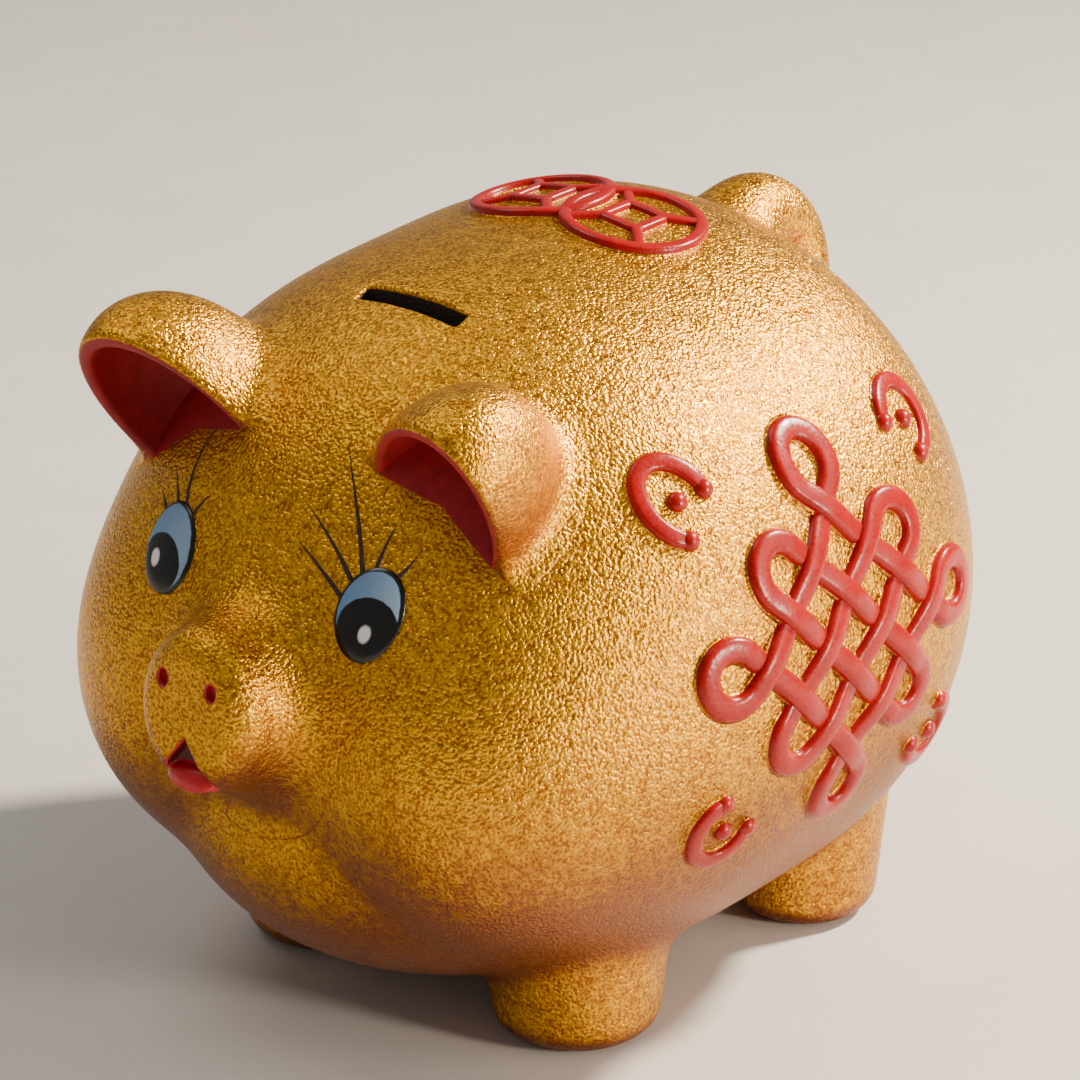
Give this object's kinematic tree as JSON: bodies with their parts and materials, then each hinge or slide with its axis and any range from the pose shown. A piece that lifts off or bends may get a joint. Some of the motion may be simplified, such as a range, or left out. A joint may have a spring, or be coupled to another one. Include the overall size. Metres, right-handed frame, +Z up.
{
  "type": "piggy bank",
  "caption": "Round standing pig money box with a coin slot across its back, raised red ornaments and a pull-out stopper in its belly.",
  "frame": {"origin": "on the table under the middle of the bank's bounding box", "axes": "the pig faces -Y, its left side is +X, and +Z is up"},
  "size_m": [0.2042, 0.2308, 0.1936],
  "materials": {
    "gold_glaze": "satin",
    "red_enamel": "gloss",
    "eye_enamel": "gloss",
    "soft_stopper": "matt"
  },
  "bodies": {
    "bank": {"body_shell": "gold_glaze", "snout": "gold_glaze", "ear_left": "gold_glaze", "ear_right": "gold_glaze", "tail": "gold_glaze", "foot_front_left": "gold_glaze", "foot_front_right": "gold_glaze", "foot_rear_left": "gold_glaze", "foot_rear_right": "gold_glaze", "knot_left": "red_enamel", "knot_right": "red_enamel", "linked_rings": "red_enamel", "eye_left": "eye_enamel", "eye_right": "eye_enamel"},
    "stopper": {"stopper": "soft_stopper"}
  },
  "joints": [
    {"name": "stopper_pull", "type": "slide", "parent": "bank", "child": "stopper", "axis": [0, 0, -1], "range_m": [0, 0.022]}
  ]
}
